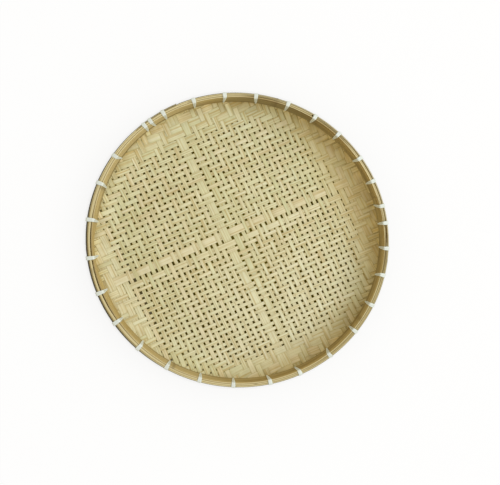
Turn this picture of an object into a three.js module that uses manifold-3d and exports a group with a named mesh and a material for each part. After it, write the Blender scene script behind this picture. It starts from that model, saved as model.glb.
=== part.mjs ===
// Bamboo winnowing tray: a shallow dish of crossed bamboo splints, clamped between two bent hoops
// that plastic ties bind together. Millimetres, +Z up. The origin is the middle of the underside.

import * as THREE from 'three';
import { mergeVertices } from 'three/addons/utils/BufferGeometryUtils.js';
import Module from 'manifold-3d';

const wasm = await Module();
wasm.setup();

// Rim
const RIM_LENGTH = 403; // across the outer hoop the long way, because the hoops have settled oval
const RIM_WIDTH = 391; // across the outer hoop the short way
const LONG_WAY_TURN = -12.5; // degrees from +X to the long way
const RIM_HEIGHT = 45; // underside of the mat to the top of the hoops
const HOOP_HEIGHT = 24;
const HOOP_FLARE = 2; // how much further out the hoops' top stands than their bottom
const OUTER_HOOP_THICKNESS = 2.6;
const INNER_HOOP_THICKNESS = 2.3;
const HOOP_EDGE = 0.8; // bevel along the hoops' edges
const EDGE_SHARE = 1 / 3; // most of a pared end's thickness that a bevel takes
const FILLER_HEIGHT = 4; // strip that covers the splints' cut ends
const FILLER_SUNK = 0.8; // how far the filler lies below the hoops' top
const FILLER_SPLIT = 60; // degrees from +X to where the filler's ends meet
const FILLER_END_GAP = 0.5; // degrees between the filler's ends

// The two ends of each hoop are pared to a slope and lie over each other
const OUTER_LAP_START = 114; // degrees from +X to the tip that lies outside
const OUTER_LAP = 18; // degrees
const OUTER_LAP_PROUD = 0.9; // how far that tip stands out
const INNER_LAP_START = 6;
const INNER_LAP = 12;
const LAP_TIP = 0.3; // share of the thickness left at a pared tip

// At the left the inner hoop's lower edge is cut back, so that the mat shows below it
const NOTCH_AT = 187; // degrees from +X to the middle of the notch
const NOTCH_REACH = 14; // degrees to either side
const NOTCH_TAPER = 7; // degrees over which it runs out
const NOTCH_HEIGHT = 14;

// Dish
const FLOOR_RADIUS = 150; // flat part of the mat
const SPLINT_THICKNESS = 0.7;
const CLEARANCE = 0.3; // between pieces that lie on each other

// Splints, across their run
const WEAVE_TURN = 24.3; // degrees from +X to the weft's run
const CROSSING = 90; // degrees from the weft's run to the warp's
const NARROW_SPLINT = 5.2;
const WIDE_WARP_SPLINT = 12.6; // the wider one of the cross's two strips along the warp
const HALF_WIDE_WARP_SPLINT = 9.4; // the other
const WARP_SLIT = 2.5; // between them
const WIDE_WEFT_SPLINT = 11.95; // the same along the weft, where the slit has pulled open
const HALF_WIDE_WEFT_SPLINT = 8.75;
const WEFT_SLIT = 3.8;
const CROSS_GAP = 2.5; // beside the strips of the cross
const CLOSE_PITCH = 7.75; // narrow splints to the right and the front
const LOOSE_PITCH = 8.25; // narrow splints to the left and the back
const BORDER_SPLINT = 8.6;
const BORDER_GAP = 0.5; // the border splints lie nearly edge to edge
const WARP_SLIT_AT = -5.4; // from the middle of the tray to the slit in the cross
const WEFT_SLIT_AT = 6.1;
const LEFT_COUNT = 18; // narrow splints on each side of the cross
const RIGHT_COUNT = 19;
const FRONT_COUNT = 20;
const BACK_COUNT = 18;
const GAP_END = 17.6; // from the wall of the mat in to where the gaps between splints close up

// Ties
const TIE_WIDTH = 5;
const TIE_SHOULDER_WIDTH = 4; // half way down the inner hoop
const TIE_TIP_WIDTH = 1.6; // where the tie goes through the mat
const TIE_THICKNESS = 0.6;
const TIE_ANGLES = [ // degrees from +X, tied by hand and therefore uneven
  7.2, 14.6, 24.6, 35.2, 47.7, 59.1, 70.6, 83, 95.5, 107.4,
  119.9, 125.5, 128.8, 144.9, 157.9, 172.6, 187.1, 201.3, 214.6, 227.4,
  240.9, 254.2, 267.4, 281.3, 293.3, 307.8, 321.3, 333.7, 346.1, 357.3,
];

// Fineness
const RING_STEPS = 60;
const BEND_STEPS = 4;

// Radii of the round tray at the top of the hoops, before it is drawn out to the oval
const RIM_RADIUS = (RIM_LENGTH + RIM_WIDTH) / 4;
const OUTER_HOOP_INSIDE = RIM_RADIUS - OUTER_HOOP_THICKNESS;
const WALL_RADIUS = OUTER_HOOP_INSIDE - CLEARANCE;
const GAP_REACH = WALL_RADIUS - GAP_END;
const LAYER_STEP = SPLINT_THICKNESS + CLEARANCE;
const INNER_HOOP_OUTSIDE = WALL_RADIUS - 2 * LAYER_STEP;
const INNER_HOOP_INSIDE = INNER_HOOP_OUTSIDE - INNER_HOOP_THICKNESS;
const HOOP_BOTTOM = RIM_HEIGHT - HOOP_HEIGHT;
const FILLER_TOP = RIM_HEIGHT - FILLER_SUNK;
const FILLER_BOTTOM = FILLER_TOP - FILLER_HEIGHT;
const MAT_TOP = FILLER_BOTTOM - CLEARANCE;
const TIE_BEND = 1.5 * CLEARANCE; // bevel of the loop's corners, which clears a square hoop edge

const radians = THREE.MathUtils.degToRad;
const UPRIGHT = new THREE.Vector3(0, 0, 1);

// How much further in the rim stands at a height than at its top
function leanAt(z) {
  return HOOP_FLARE * (RIM_HEIGHT - Math.max(z, HOOP_BOTTOM)) / HOOP_HEIGHT;
}

const oval = new THREE.Matrix4()
  .makeRotationZ(radians(LONG_WAY_TURN))
  .scale(new THREE.Vector3(RIM_LENGTH / (2 * RIM_RADIUS), RIM_WIDTH / (2 * RIM_RADIUS), 1))
  .multiply(new THREE.Matrix4().makeRotationZ(radians(-LONG_WAY_TURN)));

// Solids for cutting and joining
function toSolid(geometry) {
  const bare = geometry.clone();
  bare.deleteAttribute('normal');
  bare.deleteAttribute('uv');
  const merged = mergeVertices(bare);
  const corners = merged.index.array;
  const triangles = [];
  for (let i = 0; i < corners.length; i += 3) {
    const [a, b, c] = corners.slice(i, i + 3);
    const collapsed = a === b || b === c || c === a;
    if (!collapsed) triangles.push(a, b, c);
  }
  return new wasm.Manifold(new wasm.Mesh({
    numProp: 3,
    vertProperties: merged.getAttribute('position').array,
    triVerts: new Uint32Array(triangles),
  }));
}

function toGeometry(solid) {
  const mesh = solid.getMesh();
  const geometry = new THREE.BufferGeometry();
  geometry.setAttribute('position', new THREE.BufferAttribute(mesh.vertProperties, 3));
  geometry.setIndex(new THREE.BufferAttribute(mesh.triVerts, 1));
  return geometry;
}

function boxGeometry(low, high) {
  const size = new THREE.Vector3().subVectors(high, low);
  const middle = new THREE.Vector3().addVectors(low, high).multiplyScalar(0.5);
  return new THREE.BoxGeometry(size.x, size.y, size.z).translate(middle.x, middle.y, middle.z);
}

// A closed skin over a row of like sections: a ring if the row closes, capped at both ends if not
function loft(sections, closes) {
  const count = sections[0].length;
  const index = [];
  const spans = closes ? sections.length : sections.length - 1;
  for (let k = 0; k < spans; k += 1) {
    const here = k * count;
    const next = ((k + 1) % sections.length) * count;
    for (let j = 0; j < count; j += 1) {
      const beside = (j + 1) % count;
      index.push(here + j, next + j, next + beside, here + j, next + beside, here + beside);
    }
  }
  if (!closes) {
    const last = (sections.length - 1) * count;
    for (let j = 1; j < count - 1; j += 1) {
      index.push(0, j, j + 1, last, last + j + 1, last + j);
    }
  }
  const geometry = new THREE.BufferGeometry().setFromPoints(sections.flat());
  geometry.setIndex(index);
  return geometry;
}

// Sections of a bent strip, as radius at the rim's top and height, starting up the outside
function squareSection(inside, outside, bottom, top) {
  return [[outside, bottom], [outside, top], [inside, top], [inside, bottom]];
}

function bevelledSection(inside, outside, bottom, top) {
  const edge = Math.min(HOOP_EDGE, (outside - inside) * EDGE_SHARE);
  return [
    [outside, bottom + edge], [outside, top - edge], [outside - edge, top], [inside + edge, top],
    [inside, top - edge], [inside, bottom + edge], [inside + edge, bottom], [outside - edge, bottom],
  ];
}

// A strip bent round the tray, from one angle to another, in degrees. The inside and the outside
// radius and the lower edge are given for each angle.
function bentStrip(from, to, insideAt, outsideAt, bottomAt, top, section) {
  const steps = Math.round((to - from) / (360 / RING_STEPS));
  const sections = [];
  for (let k = 0; k <= steps; k += 1) {
    const angle = from + (to - from) * k / steps;
    const outline = section(insideAt(angle), outsideAt(angle), bottomAt(angle), top);
    sections.push(outline.map(([radius, z]) => {
      const point = new THREE.Vector3(radius - leanAt(z), 0, z);
      return point.applyAxisAngle(UPRIGHT, radians(angle));
    }));
  }
  return loft(sections, false);
}

// How far along the lap an angle lies: 0 at the outside tip, 1 at the inside tip
const alongLap = (angle, start, lap) => (angle - start) / lap;

// How far the outside end stands out there
const proudAt = (share, proud) => (share >= 0 && share < 1 ? proud * (1 - share) : 0);

// A hoop whose first end lies outside its last one over the lap, along one pared slope
function lappedHoop(inside, outside, start, lap, proud, bottomAt) {
  const thickness = outside - inside;
  const slope = (share) => outside - thickness * (LAP_TIP + (1 - 2 * LAP_TIP) * share);
  const insideAt = (angle) => {
    const share = alongLap(angle, start, lap);
    return share <= 1 ? slope(share) + CLEARANCE / 2 : inside;
  };
  const outsideAt = (angle) => {
    const lastShare = alongLap(angle - 360, start, lap);
    if (lastShare >= 0) return slope(lastShare) - CLEARANCE / 2;
    return outside + proudAt(alongLap(angle, start, lap), proud);
  };
  return bentStrip(start, start + 360 + lap, insideAt, outsideAt, bottomAt, RIM_HEIGHT, bevelledSection);
}

// The lower edge of the inner hoop, with its notch
function notchedBottom(angle) {
  const within = (NOTCH_REACH - Math.abs(angle - NOTCH_AT)) / NOTCH_TAPER;
  return HOOP_BOTTOM + NOTCH_HEIGHT * THREE.MathUtils.clamp(within, 0, 1);
}

// One side of the dish's section, a given depth into the mat: floor, bend and wall up to the hoops
function dishLine(depth) {
  const wall = WALL_RADIUS - depth;
  const across = wall - leanAt(HOOP_BOTTOM) - FLOOR_RADIUS;
  const up = HOOP_BOTTOM - depth;
  const line = [new THREE.Vector2(0, depth)];
  for (let k = 0; k <= BEND_STEPS; k += 1) {
    const turn = Math.PI / 2 * k / BEND_STEPS;
    line.push(new THREE.Vector2(FLOOR_RADIUS + across * Math.sin(turn), HOOP_BOTTOM - up * Math.cos(turn)));
  }
  line.push(new THREE.Vector2(wall - leanAt(MAT_TOP), MAT_TOP));
  return line;
}

function dish(depth) {
  const section = [...dishLine(depth), ...dishLine(depth + SPLINT_THICKNESS).reverse()];
  return toSolid(new THREE.LatheGeometry(section, RING_STEPS).rotateX(Math.PI / 2));
}

// The gaps on one side of the cross: first the narrow splints' gaps, then the border's
function sideGaps(start, way, count, pitch) {
  const gaps = [{ at: start, width: CROSS_GAP }];
  for (let k = 1; k <= count; k += 1) {
    gaps.push({ at: start + way * pitch * k, width: pitch - NARROW_SPLINT });
  }
  const borderStep = way * (BORDER_SPLINT + BORDER_GAP);
  const border = start + way * pitch * count;
  for (let at = border + borderStep; Math.abs(at) < GAP_REACH; at += borderStep) {
    gaps.push({ at, width: BORDER_GAP });
  }
  return gaps;
}

function gapCutter({ at, width }) {
  const reach = Math.sqrt(GAP_REACH ** 2 - (Math.abs(at) + width / 2) ** 2);
  return toSolid(boxGeometry(
    new THREE.Vector3(at - width / 2, -reach, -HOOP_BOTTOM),
    new THREE.Vector3(at + width / 2, reach, HOOP_BOTTOM),
  ));
}

const withinReach = ({ at, width }) => Math.abs(at) + width / 2 < GAP_REACH;

// The hole of a tie through the wall of the mat
function tieHole(angle) {
  const halfWidth = TIE_TIP_WIDTH / 2 + CLEARANCE;
  const lean = leanAt(HOOP_BOTTOM);
  const bottom = HOOP_BOTTOM - TIE_THICKNESS - 2 * CLEARANCE;
  const low = new THREE.Vector3(INNER_HOOP_INSIDE - lean, -halfWidth, bottom);
  const high = new THREE.Vector3(RIM_RADIUS - lean, halfWidth, HOOP_BOTTOM);
  return toSolid(boxGeometry(low, high).rotateZ(radians(angle)));
}

// One layer of splints, all running along Y, in three parts: the low side, the cross, the high side
function splintLayer(depth, run, slit, lowCross, highCross, lowSide, highSide) {
  const low = slit.at - slit.width / 2 - lowCross - CROSS_GAP / 2;
  const high = slit.at + slit.width / 2 + highCross + CROSS_GAP / 2;
  const gaps = [
    slit,
    ...sideGaps(low, -1, lowSide.count, lowSide.pitch),
    ...sideGaps(high, 1, highSide.count, highSide.pitch),
  ];
  const cutters = gaps.filter(withinReach).map(gapCutter);
  const holes = TIE_ANGLES.map((angle) => tieHole(angle - run));
  const layer = dish(depth).subtract([...cutters, ...holes].reduce((all, next) => all.add(next)));
  const edges = [-RIM_RADIUS, low, high, RIM_RADIUS];
  return [0, 1, 2].map((part) => {
    const slab = boxGeometry(
      new THREE.Vector3(edges[part] + CLEARANCE / 2, -RIM_RADIUS, -RIM_HEIGHT),
      new THREE.Vector3(edges[part + 1] - CLEARANCE / 2, RIM_RADIUS, RIM_HEIGHT),
    );
    return toGeometry(layer.intersect(toSolid(slab))).rotateZ(radians(run));
  });
}

// A tie: a flat band looped round both hoops, narrowed to a tip where it goes through the mat
function tieLoop(outside) {
  const left = INNER_HOOP_INSIDE - CLEARANCE;
  const right = outside + CLEARANCE;
  const low = HOOP_BOTTOM - CLEARANCE;
  const high = RIM_HEIGHT + CLEARANCE;
  const taperTop = (low + high) / 2;
  const stations = [
    { at: [right, low + TIE_BEND], out: [1, 0], width: TIE_TIP_WIDTH },
    { at: [right, taperTop], out: [1, 0], width: TIE_WIDTH },
    { at: [right, high - TIE_BEND], out: [1, 0], width: TIE_WIDTH },
    { at: [right - TIE_BEND, high], out: [0, 1], width: TIE_WIDTH },
    { at: [left + TIE_BEND, high], out: [0, 1], width: TIE_WIDTH },
    { at: [left, high - TIE_BEND], out: [-1, 0], width: TIE_WIDTH },
    { at: [left, taperTop], out: [-1, 0], width: TIE_SHOULDER_WIDTH },
    { at: [left, low + TIE_BEND], out: [-1, 0], width: TIE_TIP_WIDTH },
    { at: [left + TIE_BEND, low], out: [0, -1], width: TIE_TIP_WIDTH },
    { at: [right - TIE_BEND, low], out: [0, -1], width: TIE_TIP_WIDTH },
  ];
  return loft(stations.map(({ at: [radius, z], out: [outX, outZ], width }) => {
    const x = radius - leanAt(z);
    const outerX = x + outX * TIE_THICKNESS;
    const outerZ = z + outZ * TIE_THICKNESS;
    return [
      new THREE.Vector3(outerX, width / 2, outerZ),
      new THREE.Vector3(outerX, -width / 2, outerZ),
      new THREE.Vector3(x, -width / 2, z),
      new THREE.Vector3(x, width / 2, z),
    ];
  }), true);
}

// Assembly
const tray = new THREE.Group();

const splintFinish = { color: 0xd9c58e, roughness: 0.6, metalness: 0 };
const wideFinish = { color: 0xd6bf86, roughness: 0.6, metalness: 0 };
const hoopFinish = { color: 0xb08a4e, roughness: 0.5, metalness: 0 };
const tieFinish = { color: 0xe9ece8, roughness: 0.35, metalness: 0 };

function addPiece(name, geometry, finish) {
  const shape = geometry.applyMatrix4(oval);
  shape.computeVertexNormals();
  const piece = new THREE.Mesh(shape, new THREE.MeshStandardMaterial(finish));
  piece.name = name;
  tray.add(piece);
}

const warp = splintLayer(0, WEAVE_TURN, { at: WARP_SLIT_AT, width: WARP_SLIT },
  WIDE_WARP_SPLINT, HALF_WIDE_WARP_SPLINT,
  { count: LEFT_COUNT, pitch: LOOSE_PITCH }, { count: RIGHT_COUNT, pitch: CLOSE_PITCH });
addPiece('warp_splints_left', warp[0], splintFinish);
addPiece('wide_warp_splints', warp[1], wideFinish);
addPiece('warp_splints_right', warp[2], splintFinish);

const weft = splintLayer(LAYER_STEP, WEAVE_TURN + CROSSING, { at: WEFT_SLIT_AT, width: WEFT_SLIT },
  HALF_WIDE_WEFT_SPLINT, WIDE_WEFT_SPLINT,
  { count: FRONT_COUNT, pitch: CLOSE_PITCH }, { count: BACK_COUNT, pitch: LOOSE_PITCH });
addPiece('weft_splints_front', weft[0], splintFinish);
addPiece('wide_weft_splints', weft[1], wideFinish);
addPiece('weft_splints_back', weft[2], splintFinish);

const outerHoop = lappedHoop(OUTER_HOOP_INSIDE, RIM_RADIUS, OUTER_LAP_START, OUTER_LAP, OUTER_LAP_PROUD,
  () => HOOP_BOTTOM);
addPiece('outer_hoop', outerHoop, hoopFinish);

const innerHoop = lappedHoop(INNER_HOOP_INSIDE, INNER_HOOP_OUTSIDE, INNER_LAP_START, INNER_LAP, 0,
  notchedBottom);
addPiece('inner_hoop', innerHoop, hoopFinish);

const filler = bentStrip(FILLER_SPLIT + FILLER_END_GAP / 2, FILLER_SPLIT + 360 - FILLER_END_GAP / 2,
  () => INNER_HOOP_OUTSIDE + CLEARANCE, () => WALL_RADIUS, () => FILLER_BOTTOM, FILLER_TOP, squareSection);
addPiece('rim_filler', filler, hoopFinish);

const tieHalfAngle = THREE.MathUtils.radToDeg(TIE_WIDTH / 2 / RIM_RADIUS);
TIE_ANGLES.forEach((angle, k) => {
  const edges = [angle - tieHalfAngle, angle + tieHalfAngle];
  const proud = edges.map((edge) => proudAt(alongLap(edge, OUTER_LAP_START, OUTER_LAP), OUTER_LAP_PROUD));
  const loop = tieLoop(RIM_RADIUS + Math.max(...proud));
  addPiece(`tie_${String(k + 1).padStart(2, '0')}`, loop.rotateZ(radians(angle)), tieFinish);
});

export default tray;
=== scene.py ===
# %% [markdown]
# # A bamboo winnowing tray
#
# A winnowing tray is a shallow dish for tossing grain or drying food. A mat of split bamboo is woven
# flat, pressed between two bent hoops so that it dishes, and bound there with strips of packing band.
# This lesson dresses the plain solids of such a tray: it weaves the mat over and under, gives the hoops
# their grain and skin, folds the bands and lights the whole as in a plain studio.

# %% Load the frame
import math
import random

import bpy
from mathutils import Matrix, Vector


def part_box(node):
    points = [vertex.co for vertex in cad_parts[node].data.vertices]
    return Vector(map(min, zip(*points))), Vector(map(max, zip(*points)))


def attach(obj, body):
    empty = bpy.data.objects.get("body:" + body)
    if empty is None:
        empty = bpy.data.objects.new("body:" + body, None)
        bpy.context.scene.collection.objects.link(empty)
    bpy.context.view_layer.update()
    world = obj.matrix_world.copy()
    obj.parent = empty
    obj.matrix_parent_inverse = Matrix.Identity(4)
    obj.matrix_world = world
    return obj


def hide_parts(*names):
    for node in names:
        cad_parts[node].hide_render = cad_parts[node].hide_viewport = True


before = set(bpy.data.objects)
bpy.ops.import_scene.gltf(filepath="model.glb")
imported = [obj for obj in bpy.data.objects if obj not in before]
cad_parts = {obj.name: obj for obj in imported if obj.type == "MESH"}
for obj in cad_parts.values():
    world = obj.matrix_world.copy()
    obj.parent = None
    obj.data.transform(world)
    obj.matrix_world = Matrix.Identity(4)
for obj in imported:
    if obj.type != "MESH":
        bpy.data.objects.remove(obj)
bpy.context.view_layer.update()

print("solids loaded:", len(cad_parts))

# %% [markdown]
# ## Sizes
#
# The heights of the rim come from the solids. The hoops have settled a little oval, so every piece is
# made round first and then drawn out by one matrix. That keeps the code for each piece simple, and the
# pieces stay together because they share the matrix.

# %% Sizes of the rim and the dish
MM = 0.001
RIM_LENGTH = 403 * MM
RIM_WIDTH = 391 * MM
LONG_WAY_TURN = math.radians(-12.5)
RIM_RADIUS = (RIM_LENGTH + RIM_WIDTH) / 4
HOOP_FLARE = 1.2 * MM  # how much further out the hoops' top stands than their bottom
OUTER_HOOP_THICKNESS = 2.1 * MM
INNER_HOOP_THICKNESS = 1.8 * MM
MAT_ROOM = 2.3 * MM  # between the two hoops
MAT_MIDDLE = 0.85 * MM  # height of the middle of the mat where it lies flat
FLOOR_RADIUS = 150 * MM  # flat part of the mat

hoop_low, hoop_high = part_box("outer_hoop")
HOOP_BOTTOM, RIM_TOP = hoop_low.z, hoop_high.z
HOOP_HEIGHT = RIM_TOP - HOOP_BOTTOM
MAT_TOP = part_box("warp_splints_left")[1].z
OUTER_HOOP_INSIDE = RIM_RADIUS - OUTER_HOOP_THICKNESS
INNER_HOOP_OUTSIDE = OUTER_HOOP_INSIDE - MAT_ROOM
INNER_HOOP_INSIDE = INNER_HOOP_OUTSIDE - INNER_HOOP_THICKNESS
WALL_RADIUS = (OUTER_HOOP_INSIDE + INNER_HOOP_OUTSIDE) / 2 - HOOP_FLARE

STRETCH = Matrix.Diagonal((RIM_LENGTH / (2 * RIM_RADIUS), RIM_WIDTH / (2 * RIM_RADIUS), 1, 1))
OVAL = Matrix.Rotation(LONG_WAY_TURN, 4, "Z") @ STRETCH @ Matrix.Rotation(-LONG_WAY_TURN, 4, "Z")
print(f"hoops from {HOOP_BOTTOM:.4f} to {RIM_TOP:.4f} m, mat up to {MAT_TOP:.4f} m")

# %% [markdown]
# ## Camera
#
# The photograph looks almost straight down, from a little to the left, so that more of the hoop's inner
# face shows on the right. The camera keeps its distance above the rim, and its aim is moved by the few
# pixels by which the tray lies off the middle of the picture.

# %% Camera above the tray
IMAGE_WIDTH, IMAGE_HEIGHT = 500, 485  # pixels
RIM_MIDDLE_AT = (239.3, 240.1)  # pixel of the middle of the rim
PIXEL = 1.328 * MM  # on the plane of the rim
CAMERA_RISE = 0.85  # above the rim
CAMERA_LEFT = 0.03
SENSOR_WIDTH = 36


def add_object(name, data):
    """A new object in the scene that shows the given data."""
    made = bpy.data.objects.new(name, data)
    bpy.context.scene.collection.objects.link(made)
    return made


aim_right = (IMAGE_WIDTH / 2 - RIM_MIDDLE_AT[0]) * PIXEL
aim_up = (RIM_MIDDLE_AT[1] - IMAGE_HEIGHT / 2) * PIXEL
aim = Vector((aim_right, aim_up, RIM_TOP))
camera = add_object("camera", bpy.data.cameras.new("camera"))
camera.location = Vector((-CAMERA_LEFT, 0, RIM_TOP + CAMERA_RISE))
back = (camera.location - aim).normalized()
right = Vector((0, 1, 0)).cross(back).normalized()
camera.rotation_euler = Matrix((right, back.cross(right), back)).transposed().to_euler()
camera.data.sensor_width = SENSOR_WIDTH
camera.data.lens = SENSOR_WIDTH * (aim - camera.location).length / (IMAGE_WIDTH * PIXEL)
bpy.context.scene.camera = camera
print(f"camera lens {camera.data.lens:.1f} mm, aimed at {tuple(round(v, 4) for v in aim)}")

# %% [markdown]
# ## A way to write node trees
#
# Shapes that repeat and finishes are both node trees. Placing nodes by hand takes many lines, so one
# small class wraps a socket: arithmetic on it adds Math nodes, and one method adds any other node. The
# same class serves geometry and materials, because both use the same Math nodes.

# %% Wires between nodes
class Wire:
    """A socket in a node tree. Arithmetic with wires and numbers adds Math nodes."""

    def __init__(self, tree, socket=None):
        self.tree = tree
        self.socket = socket

    def node(self, kind, settings=None, values=None, output=0):
        """Adds any node: its settings first, then the values or wires of its sockets."""
        made = self.tree.nodes.new(kind)
        for name, value in (settings or {}).items():
            setattr(made, name, value)
        for name, value in (values or {}).items():
            if isinstance(value, Wire):
                self.tree.links.new(value.socket, made.inputs[name])
            else:
                made.inputs[name].default_value = value
        return Wire(self.tree, made.outputs[output] if made.outputs else None)

    def also(self, output):
        """Another output of the same node."""
        return Wire(self.tree, self.socket.node.outputs[output])

    def maths(self, operation, *values):
        return self.node("ShaderNodeMath", {"operation": operation}, dict(enumerate(values)))

    def __add__(self, other):
        return self.maths("ADD", self, other)

    def __sub__(self, other):
        return self.maths("SUBTRACT", self, other)

    def __mul__(self, other):
        return self.maths("MULTIPLY", self, other)

    def __truediv__(self, other):
        return self.maths("DIVIDE", self, other)

    def __rsub__(self, other):
        return self.maths("SUBTRACT", other, self)

    def __rtruediv__(self, other):
        return self.maths("DIVIDE", other, self)

    __radd__ = __add__
    __rmul__ = __mul__

    def __lt__(self, other):
        return self.maths("LESS_THAN", self, other)

    def __gt__(self, other):
        return self.maths("GREATER_THAN", self, other)

    def root(self):
        return self.maths("SQRT", self)

    def size(self):
        return self.maths("ABSOLUTE", self)

    def fraction(self):
        return self.maths("FRACT", self)

    def least(self, other):
        return self.maths("MINIMUM", self, other)

    def most(self, other):
        return self.maths("MAXIMUM", self, other)

    def ease(self, low, high):
        """0 below low, 1 above high and smooth between them."""
        values = {"Value": self, "From Min": low, "From Max": high}
        return self.node("ShaderNodeMapRange", {"interpolation_type": "SMOOTHSTEP"}, values)

    def point(self, x, y, z):
        return self.node("ShaderNodeCombineXYZ", None, {"X": x, "Y": y, "Z": z})

    def parts(self):
        split = self.node("ShaderNodeSeparateXYZ", None, {"Vector": self})
        return split, split.also("Y"), split.also("Z")

    def noise(self, vector, detail=2.0, roughness=0.5):
        values = {"Vector": vector, "Scale": 1.0, "Detail": detail, "Roughness": roughness}
        return self.node("ShaderNodeTexNoise", {"noise_dimensions": "3D"}, values)

    def blend(self, share, first, second):
        """Mixes two colours."""
        return self.node("ShaderNodeMix", {"data_type": "RGBA"}, {0: share, 6: first, 7: second}, output=2)

    def times(self, factor):
        """A colour or vector made larger or smaller as a whole."""
        return self.node("ShaderNodeVectorMath", {"operation": "SCALE"}, {0: self, "Scale": factor})


print("node trees are written with", Wire.__name__)

# %% [markdown]
# Geometry trees share a few more steps: a tree has named inputs, reads and stores values on points, and
# ends with its finish. It works on seed points that carry the numbers of each copy. What it makes is
# turned into a plain mesh at the tray's own place, because the export knows nothing of trees.

# %% Geometry trees
def new_tree(name, inputs):
    """A geometry tree with named inputs, and the wires that come out of its input node."""
    tree = bpy.data.node_groups.new(name, "GeometryNodeTree")
    tree.interface.new_socket("Geometry", in_out="OUTPUT", socket_type="NodeSocketGeometry")
    for label, kind in {"Geometry": "Geometry", **inputs}.items():
        tree.interface.new_socket(label, in_out="INPUT", socket_type="NodeSocket" + kind)
    source = tree.nodes.new("NodeGroupInput")
    return tree, {socket.name: Wire(tree, socket) for socket in source.outputs if socket.name}


def own(wire, name):
    """A number that the points of the tree's geometry carry."""
    return wire.node("GeometryNodeInputNamedAttribute", {"data_type": "FLOAT"}, {"Name": name})


def keep(wire, geometry, name, value, kind="FLOAT"):
    """Stores a value on the points of the tree's geometry."""
    settings = {"data_type": kind, "domain": "POINT"}
    values = {"Geometry": geometry, "Name": name, "Value": value}
    return wire.node("GeometryNodeStoreNamedAttribute", settings, values)


def close_tree(wire, geometry, finish):
    """Ends a tree with smooth shading and its finish."""
    smooth = wire.node("GeometryNodeSetShadeSmooth", None, {"Geometry": geometry})
    dressed = wire.node("GeometryNodeSetMaterial", None, {"Geometry": smooth, "Material": finish})
    wire.node("NodeGroupOutput", None, {"Geometry": dressed})


print("geometry trees start with", new_tree.__name__, "and end with", close_tree.__name__)

# %% Seed points and plain meshes
def store_numbers(mesh, values):
    """Stores named numbers on the points of a mesh."""
    for label, numbers in values.items():
        mesh.attributes.new(label, "FLOAT", "POINT").data.foreach_set("value", numbers)


def store_grain(mesh, grain):
    """Stores the grain's own coordinates on the points of a mesh."""
    numbers = [number for point in grain for number in point]
    mesh.attributes.new("grain", "FLOAT_VECTOR", "POINT").data.foreach_set("vector", numbers)


def seed_points(name, places, values):
    """An object of loose points, each with its own named numbers."""
    mesh = bpy.data.meshes.new(name)
    mesh.from_pydata(places, [], [])
    store_numbers(mesh, values)
    return add_object(name, mesh)


def add_tree(seeds, tree, values):
    """Puts a tree on an object and sets its inputs by their identifiers."""
    modifier = seeds.modifiers.new(tree.name, "NODES")
    modifier.node_group = tree
    for item in tree.interface.items_tree:
        if item.in_out == "INPUT" and item.name in values:
            modifier[item.identifier] = values[item.name]


def plain_piece(seeds, name, place):
    """A new object with what the modifiers made, as a plain mesh moved to its place."""
    graph = bpy.context.evaluated_depsgraph_get()
    made = seeds.evaluated_get(graph)
    mesh = bpy.data.meshes.new_from_object(made, preserve_all_data_layers=True, depsgraph=graph)
    mesh.name = name
    mesh.transform(place)
    bpy.data.objects.remove(seeds)
    return add_object(name, mesh)


def hand_over(piece, slot, *nodes):
    """Ties a finished piece to the tray's one body, in place of its plain solids."""
    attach(piece, "root")
    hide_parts(*nodes)
    triangles = sum(len(face.vertices) - 2 for face in piece.data.polygons)
    print(f"{piece.name}: {triangles} triangles in place of {len(nodes)} solids")


# %% [markdown]
# ## Finish of the splints
#
# The splints are split from fresh bamboo and scraped, so they are pale straw with a green or a pink
# cast that differs from strip to strip. Fine fibres run along each strip, with a few darker streaks,
# and a faint line crosses it where the cane had a joint. Painted shade darkens the cut edges and the
# places where a strip dives under the next. Painted light and shade lie on the tray as a whole too:
# painted light on the floor at the front right, painted warm shade up the wall, least at the front
# left and most at the back right, and painted shade close to the rim at the front right. There are
# faint stains as well.
#
# A picture of bamboo could be laid on the strips, but it would repeat and it would run across them.
# This finish reads the strip's own coordinates, which the weave stores on its points, so the fibres
# follow every strip. The painted light and shade on the tray as a whole, and the stains, read the place
# on the tray instead. All of it is laid on in thin coats, as a painter would.

# %% Colours, coats and the start of a finish
def paint(red, green, blue):
    """A colour as seen on a screen, 0 to 255, made linear."""
    def linear(value):
        share = value / 255
        return share / 12.92 if share <= 0.04045 else ((share + 0.055) / 1.055) ** 2.4
    return linear(red), linear(green), linear(blue), 1.0


def new_finish(name):
    finish = bpy.data.materials.new(name)
    finish.use_nodes = True
    finish.node_tree.nodes.clear()
    return finish, Wire(finish.node_tree)


def coat(wire, colour, layers):
    """Lays colours over a colour. Each layer says how much of it shows, and its own colour."""
    for share, over in layers:
        colour = wire.blend(share, colour, over)
    return colour


def close_finish(wire, colour, roughness, relief, strength, depth):
    """Ends a finish with its colour, its roughness and a relief of some strength and depth."""
    bump = wire.node("ShaderNodeBump", None, {"Strength": strength, "Distance": depth, "Height": relief})
    surface = wire.node("ShaderNodeBsdfPrincipled", None, {
        "Base Color": colour, "Roughness": roughness, "Normal": bump})
    wire.node("ShaderNodeOutputMaterial", None, {"Surface": surface})


print("a middle grey is", round(paint(128, 128, 128)[0], 3), "in linear light")

# %% What a finish reads from its piece
def number_on(wire, name):
    return wire.node("ShaderNodeAttribute", {"attribute_name": name}, output="Fac")


def grain_on(wire):
    """How far a point lies along and across the grain, and the number of its strip."""
    return wire.node("ShaderNodeAttribute", {"attribute_name": "grain"}, output="Vector").parts()


def place_on(wire):
    return wire.node("ShaderNodeTexCoord", output="Object")


def grain_noise(wire, grain, per_metre, lot_step, shift, detail, roughness):
    """Noise drawn out along the grain, with so many marks per metre along it and across it.

    The lot, which is the number of the strip, takes every strip to another part of the noise."""
    along, across, lot = grain
    spot = wire.point(along * per_metre[0], across * per_metre[1], lot * lot_step + shift)
    return wire.noise(spot, detail, roughness)


print("finishes read the grain, numbers on points and the place on the tray")

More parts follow.
